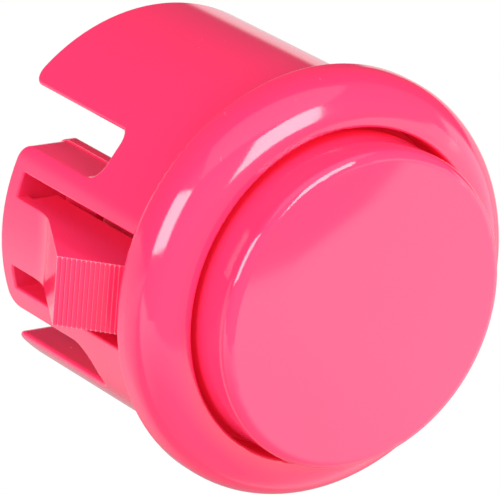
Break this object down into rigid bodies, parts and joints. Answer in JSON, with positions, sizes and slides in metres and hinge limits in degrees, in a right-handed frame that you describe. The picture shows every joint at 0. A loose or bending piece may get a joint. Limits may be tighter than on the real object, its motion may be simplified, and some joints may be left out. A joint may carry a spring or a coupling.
{
  "type": "arcade button",
  "caption": "Glossy pink snap-in arcade push button: domed bezel, sprung plunger, slotted barrel with ribbed snap clips, small switch with blade terminals behind.",
  "frame": {"origin": "on the button's axis, at the panel's surface under the bezel", "axes": "+Z along the axis out of the panel towards the finger, +X through the snap clips, +Y across them"},
  "size_m": [0.0376, 0.033, 0.0346],
  "materials": {
    "pink_body": "glossy moulded hot pink plastic",
    "pink_plunger": "glossy moulded hot pink plastic",
    "switch_case": "fine-grained black moulding",
    "switch_base": "fine-grained black moulding",
    "switch_actuator": "satin natural white moulding",
    "contact_strip": "rolled spring brass",
    "contact_silver": "satin silver alloy",
    "terminal_metal": "punched brass",
    "spring_steel": "drawn spring wire"
  },
  "bodies": {
    "housing": {"body": "pink_body", "switch_case": "switch_case", "switch_base": "switch_base", "terminal_left": "terminal_metal", "terminal_right": "terminal_metal", "fixed_contact_left": "contact_silver", "fixed_contact_right": "contact_silver", "return_spring": "spring_steel"},
    "plunger": {"plunger": "pink_plunger"},
    "actuator": {"switch_actuator": "switch_actuator", "contact_bridge": "contact_strip", "moving_contact_left": "contact_silver", "moving_contact_right": "contact_silver"}
  },
  "joints": [
    {"name": "plunger_press", "type": "slide", "parent": "housing", "child": "plunger", "axis": [0, 0, -1], "range_m": [0, 0.0022], "stiffness_N_per_m": 130, "springref_m": -0.003},
    {"name": "actuator_press", "type": "slide", "parent": "housing", "child": "actuator", "axis": [0, 0, -1], "range_m": [0, 0.0022], "deforming": ["return_spring"]}
  ],
  "couplings": [
    {"joint": "actuator_press", "follows": "plunger_press", "ratio": 1}
  ]
}
